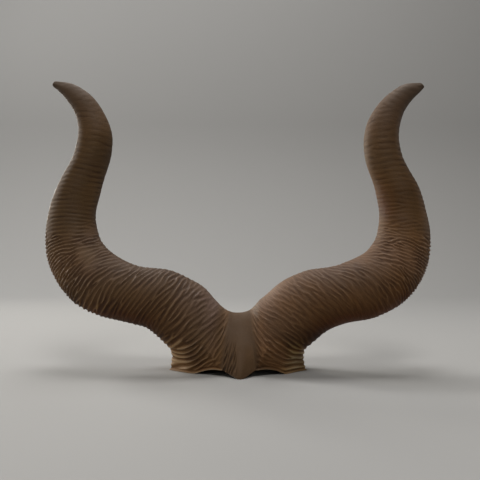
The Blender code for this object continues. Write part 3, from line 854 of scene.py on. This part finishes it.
def strip_loop(share):
    """Closed section of the skull strip at a share of its width: outer arch, then hollow.

    In front the strip has a keel that runs out upwards, and ends below in a point.
    """
    off_middle = abs(2 * share - 1)
    side_width = FRONT_POINT_SHARE if share < FRONT_POINT_SHARE else 1 - FRONT_POINT_SHARE
    off_point = abs(share - FRONT_POINT_SHARE) / side_width
    lift = max(0.0, off_point - FRONT_POINT_FLAT) / (1 - FRONT_POINT_FLAT)
    rounded = math.hypot(off_point, FRONT_POINT_ROUNDNESS) - FRONT_POINT_ROUNDNESS
    rounded /= math.hypot(1.0, FRONT_POINT_ROUNDNESS) - FRONT_POINT_ROUNDNESS
    keel = (FRONT_POINT_DEPTH - FRONT_FOOT_DEPTH) * (1 - rounded) ** FRONT_POINT_SHARPNESS
    front_height = FRONT_FOOT_HEIGHT * lift
    back_depth = BACK_POINT_DEPTH + (BACK_FOOT_DEPTH - BACK_POINT_DEPTH) * off_middle**2
    angles = np.linspace(90.0, 270.0, SEGMENTS // 2 + 1)
    fall = np.clip(np.cos(np.radians(angles - 90.0)), 0, 1) ** FRONT_POINT_FALL
    depth, height = arch_curve(angles, (FRONT_FOOT_DEPTH, front_height), (back_depth, 0.0), saddle_top(share))
    inner_feet = (FRONT_FOOT_DEPTH + WALL, front_height), (back_depth - WALL, 0.0)
    inner_depth, inner_height = arch_curve(angles, *inner_feet, HOLLOW_HEIGHT)
    depth = np.concatenate([depth + keel * fall, (inner_depth + keel * fall)[::-1]])
    height = np.concatenate([height, inner_height[::-1]])
    left = -joint_distance("left", height) + JOINT_GAP / 2
    right = joint_distance("right", height) - JOINT_GAP / 2
    return np.stack([left + (right - left) * share, depth, height], axis=1)


def add_strip():
    """The fine skull strip."""
    shares = np.linspace(0.0, 1.0, STRIP_COLUMNS + 1)
    loops = np.array([strip_loop(share) for share in shares])
    around = loops.shape[1]
    wrinkles = strip_wrinkles(loops)
    loops[..., 1] -= WRINKLE_HEIGHT * wrinkles
    faces = [face[::-1] for face in ring_faces(len(loops), around, 0)]
    half = around // 2
    last = (len(loops) - 1) * around
    for place in range(half - 1):
        quad = (place, place + 1, around - 2 - place, around - 1 - place)
        faces.append(quad)
        faces.append(tuple(last + index for index in reversed(quad)))
    strip = add_mesh("skull_strip_surface", loops.reshape(-1, 3), faces)
    inside = np.zeros(loops.shape[:2])
    inside[:, half:] = 1.0
    add_values(strip, "hollow", inside.ravel())
    # Painted light: the shaded right side of the strip's point is made paler.
    paler = smooth_step(loops[..., 0], *PAINTED_LIGHT_SIDE_START) * (1 - smooth_step(loops[..., 2], *PAINTED_LIGHT_SIDE_TOP))
    # The wrinkles' painted shade and light, and the painted light on the right side.
    crests = JOINT_CREST + WRINKLE_CONTRAST * wrinkles + PAINTED_LIGHT_SIDE_CREST * paler
    add_values(strip, "crest", (crests * (1 - inside)).ravel())
    add_values(strip, "straight", loops.reshape(-1, 3) * METRES_PER_MM)
    return strip


def strip_wrinkles(loops):
    """Fine wrinkles that fan out downwards on the front of the skull strip, left of its keel."""
    random = np.random.default_rng(WRINKLE_SEED)
    mirrored = loops * [-1, 1, 1]
    out, depth, up = np.moveaxis(mirrored, 2, 0)
    waver = WRINKLE_WAVER * wander(random, out.shape, "wrinkles")
    directions = np.radians(table(WRINKLE_DIRECTION, out) + waver)
    field = ridge_field(random, mirrored, directions, np.full(out.shape, WRINKLE_PITCH), WRINKLE_ROUNDS)
    wave = 2 * ridge_waves(field, 1.0) - 1
    patches = np.tanh(wander(random, out.shape, "wrinkle_patches"))
    uneven = WRINKLE_STRENGTH + WRINKLE_PATCHINESS * patches
    low = smooth_step(out, *WRINKLE_START) * (1 - smooth_step(up, *WRINKLE_TOP))
    beside_horn = WRINKLE_EDGE_STRENGTH * smooth_step(out, *WRINKLE_EDGE)
    front = smooth_step(-depth, *WRINKLE_FRONT)
    edge = smooth_step(up, *WRINKLE_FOOT)
    return wave * uneven * np.maximum(low, beside_horn) * front * edge


def feed(tree, socket, value):
    """Links an input to an output, or sets it to a constant."""
    if isinstance(value, bpy.types.NodeSocket):
        tree.links.new(value, socket)
    else:
        socket.default_value = value


def node(tree, kind, **settings):
    """A new shader node. Settings with the name of an input feed it, others set the node."""
    made = tree.nodes.new(kind)
    for key, value in settings.items():
        if hasattr(made, key):
            setattr(made, key, value)
        else:
            feed(tree, made.inputs[key.replace("_", " ")], value)
    return made


def start_material(name):
    """A new material: its node tree, its shader, and the object's own coordinates."""
    material = bpy.data.materials.new(name)
    material.use_nodes = True
    tree = material.node_tree
    shader = tree.nodes["Principled BSDF"]
    shader.inputs["Specular IOR Level"].default_value = SPECULAR
    place = node(tree, "ShaderNodeTexCoord").outputs["Object"]
    return material, tree, shader, place


def attribute(tree, name, output="Fac"):
    return node(tree, "ShaderNodeAttribute", attribute_name=name).outputs[output]


def noise(tree, place, kind, detail=3.0):
    """Noise of a kind named in PATTERN_SCALE."""
    scale = PATTERN_SCALE[kind]
    made = node(tree, "ShaderNodeTexNoise", Vector=place, Scale=scale, Detail=detail, Roughness=0.6)
    return made.outputs["Fac"]


def ranged(tree, value, low, high, to_low=0.0, to_high=1.0):
    """value read from the range low to high onto the range to_low to to_high."""
    made = node(tree, "ShaderNodeMapRange", Value=value, From_Min=low, From_Max=high, To_Min=to_low,
                To_Max=to_high)
    return made.outputs["Result"]


def mixed(tree, share, first, second, kind="RGBA"):
    """Output between two colours or two values, each a constant or an output."""
    mix = node(tree, "ShaderNodeMix", data_type="RGBA" if kind == "RGBA" else "FLOAT")
    for name, of_type, value in (("Factor", "VALUE", share), ("A", kind, first), ("B", kind, second)):
        socket = next(s for s in mix.inputs if s.name == name and s.type == of_type)
        feed(tree, socket, (*value, 1) if isinstance(value, tuple) else value)
    return next(s for s in mix.outputs if s.type == kind)


def multiplied(tree, vector, factors):
    """A vector or colour times factors, either a constant for each axis or an output."""
    made = node(tree, "ShaderNodeVectorMath", operation="MULTIPLY")
    feed(tree, made.inputs[0], vector)
    feed(tree, made.inputs[1], factors)
    return made.outputs["Vector"]


def finish_material(tree, shader, place, colour, roughness, heights):
    """Links the shader's colour, roughness and bumps, with porous bone in the hollow.

    Each of the heights is a (height output, strength, distance in metres).
    """
    pores = noise(tree, place, "pores")
    bone = mixed(tree, ranged(tree, pores, 0.35, 0.65), PORE_DARK, PORE_LIGHT)
    tree.links.new(mixed(tree, attribute(tree, "hollow"), colour, bone), shader.inputs["Base Color"])
    tree.links.new(roughness, shader.inputs["Roughness"])
    normal = None
    for height, strength, distance in [*heights, (pores, 0.3, 0.0002)]:
        bump = node(tree, "ShaderNodeBump", Height=height, Strength=strength, Distance=distance)
        if normal is not None:
            tree.links.new(normal, bump.inputs["Normal"])
        normal = bump.outputs["Normal"]
    tree.links.new(normal, shader.inputs["Normal"])


def skull_look(tree, place):
    """Smooth brown bone with soft blotches, darker where the crest value is low, which is painted shade in
    grooves and wrinkles.

    These are its colour, its roughness and its grain.
    """
    blotches = noise(tree, place, "blotches", 4.0)
    grain = noise(tree, place, "grain")
    colour = mixed(tree, attribute(tree, "crest"), SKULL_GROOVE, SKULL_CREST)
    colour = mixed(tree, ranged(tree, blotches, 0.4, 0.7, 0.0, 0.6), colour, SKULL_BLOTCH)
    colour = multiplied(tree, colour, ranged(tree, grain, 0.3, 0.7, 0.9, 1.08))
    return colour, ranged(tree, blotches, 0.3, 0.7, *SKULL_ROUGHNESS), grain


def horn_material(side):
    """Satin horn with soft patches and growth lines: painted shade darkens the grooves, and a painted
    highlight makes the crest tops paler.
    """
    look = HORN_LOOK[side]
    material, tree, shader, place = start_material(f"{side}_horn_look")
    straight = attribute(tree, "straight", "Vector")
    length = node(tree, "ShaderNodeSeparateXYZ", Vector=straight).outputs["X"]
    crest = attribute(tree, "crest")
    patches = noise(tree, place, "patches", 4.0)
    crackle = noise(tree, place, "crackle", 2.0)
    growth = noise(tree, multiplied(tree, straight, GROWTH_SQUEEZE), "growth")
    # Painted shade in the grooves and painted light on the crests.
    colour = mixed(tree, crest, look["groove"], look["crest"])
    colour = mixed(tree, ranged(tree, patches, 0.42, 0.68, 0.0, 0.5), colour, look["warm"])
    # Painted highlight: the tops of the crests are made paler and greyer.
    colour = mixed(tree, ranged(tree, crest, 0.75, 1.0, 0.0, 0.5), colour, look["painted_highlight"])
    for pattern in (growth, crackle):
        colour = multiplied(tree, colour, ranged(tree, pattern, 0.3, 0.7, 0.85, 1.12))
    skull, skull_roughness, _ = skull_look(tree, place)
    colour = mixed(tree, attribute(tree, "bone"), colour, skull)
    # Tone and colour of the horn, with painted light and shade on its flanks and on the foot's outer wall.
    colour = multiplied(tree, colour, attribute(tree, "tint", "Vector"))
    colour = mixed(tree, ranged(tree, length, *TIP_START), colour, look["tip"])
    # Painted highlight along the rim's lip.
    colour = mixed(tree, attribute(tree, "lip"), colour, look["lip"])
    roughness = ranged(tree, crest, 0.3, 1.0, GROOVE_ROUGHNESS, CREST_ROUGHNESS)
    roughness = mixed(tree, attribute(tree, "bone"), roughness, skull_roughness, "VALUE")
    heights = [(growth, 0.5, 0.0003), (crackle, 0.5, 0.0004)]
    finish_material(tree, shader, place, colour, roughness, heights)
    return material


def skull_material():
    """Dull brown bone, porous in the hollow."""
    material, tree, shader, place = start_material("skull_look")
    colour, roughness, grain = skull_look(tree, place)
    finish_material(tree, shader, place, colour, roughness, [(grain, 0.35, 0.0003)])
    return material


def add_floor():
    """A pale floor that sweeps up behind the object."""
    width = 9000.0
    front = -2400.0
    back = 2200.0
    bend = 800.0
    top = 3200.0
    steps = 12
    profile = [(front, 0.0), (back - bend, 0.0)]
    for step in range(1, steps):
        turn = math.radians(90.0 * step / steps)
        profile.append((back - bend + bend * math.sin(turn), bend - bend * math.cos(turn)))
    profile += [(back, bend), (back, top)]
    points = [(x, y, z) for y, z in profile for x in (-width / 2, width / 2)]
    faces = [(2 * i, 2 * i + 1, 2 * i + 3, 2 * i + 2) for i in range(len(profile) - 1)]
    floor = add_mesh("floor", points, faces)
    material = bpy.data.materials.new("floor_paint")
    material.use_nodes = True
    shader = material.node_tree.nodes["Principled BSDF"]
    shader.inputs["Base Color"].default_value = (0.28, 0.28, 0.277, 1)
    shader.inputs["Roughness"].default_value = 0.9
    floor.data.materials.append(material)


def add_light(name, place, target, size, power, colour, spread=180.0):
    """A square soft light at place that points at target. spread is the width of its beam in degrees."""
    data = bpy.data.lights.new(name, "AREA")
    data.size = size
    data.spread = math.radians(spread)
    data.energy = power
    data.color = colour
    light = add_thing(name, data)
    light.location = place
    x, y, z = np.subtract(target, place)
    light.rotation_euler = (math.atan2(math.hypot(x, y), -z), 0.0, math.atan2(-x, y))


def add_camera():
    data = bpy.data.cameras.new("camera")
    data.lens = CAMERA_LENS
    data.sensor_width = CAMERA_SENSOR
    camera = add_thing("camera", data)
    camera.location = CAMERA_PLACE
    camera.rotation_euler = (math.radians(90.0), 0.0, 0.0)
    bpy.context.scene.camera = camera


def add_lights():
    add_light("overhead", (0.0, 0.57, 3.25), (0.0, 0.0, 0.1), 1.3, 62.0, (1.0, 0.98, 0.96))
    add_light("front_top", (0.2, -2.1, 3.2), (0.0, 0.0, 0.15), 1.3, 59.0, (1.0, 0.97, 0.93))
    add_light("left_edge", (-2.65, 1.18, 0.8), (0.0, 0.0, 0.25), 1.0, 2.7, (1.0, 0.96, 0.90), 60.0)
    add_light("right_edge", (2.65, 1.18, 0.8), (0.0, 0.0, 0.25), 1.0, 0.6, (0.95, 0.97, 1.0), 60.0)
    add_light("upper_left_back", (-1.8, 1.3, 1.9), (0.1, 0.0, 0.3), 0.7, 34.0, (1.0, 0.98, 0.95))
    add_light("back_top", (0.0, 2.0, 2.6), (0.0, 0.0, 0.2), 1.0, 12.0, (1.0, 0.98, 0.96))
    add_light("rim", (-1.3, 1.9, 0.6), (0.25, 0.0, 0.36), 0.5, 1.8, (1.0, 0.93, 0.80), 50.0)
    add_light("left_side", (-1.5, -0.6, 0.17), (-0.1, 0.0, 0.05), 0.2, 0.21, (1.0, 0.96, 0.90), 45.0)
    world = bpy.data.worlds.new("world")
    world.use_nodes = True
    background = world.node_tree.nodes["Background"]
    background.inputs["Color"].default_value = (1.0, 0.93, 0.82, 1)
    background.inputs["Strength"].default_value = 0.13
    bpy.context.scene.world = world
    bpy.context.scene.view_settings.view_transform = "Standard"


def main():
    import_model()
    pieces = {
        "left_horn": (add_horn("left"), "horn_left", horn_material("left")),
        "right_horn": (add_horn("right"), "horn_right", horn_material("right")),
        "skull_strip": (add_strip(), "skull", skull_material()),
    }
    for name, (piece, slot, material) in pieces.items():
        piece.data.materials.append(material)
        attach(piece, "root")
        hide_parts(name)
    add_floor()
    add_lights()
    add_camera()


main()
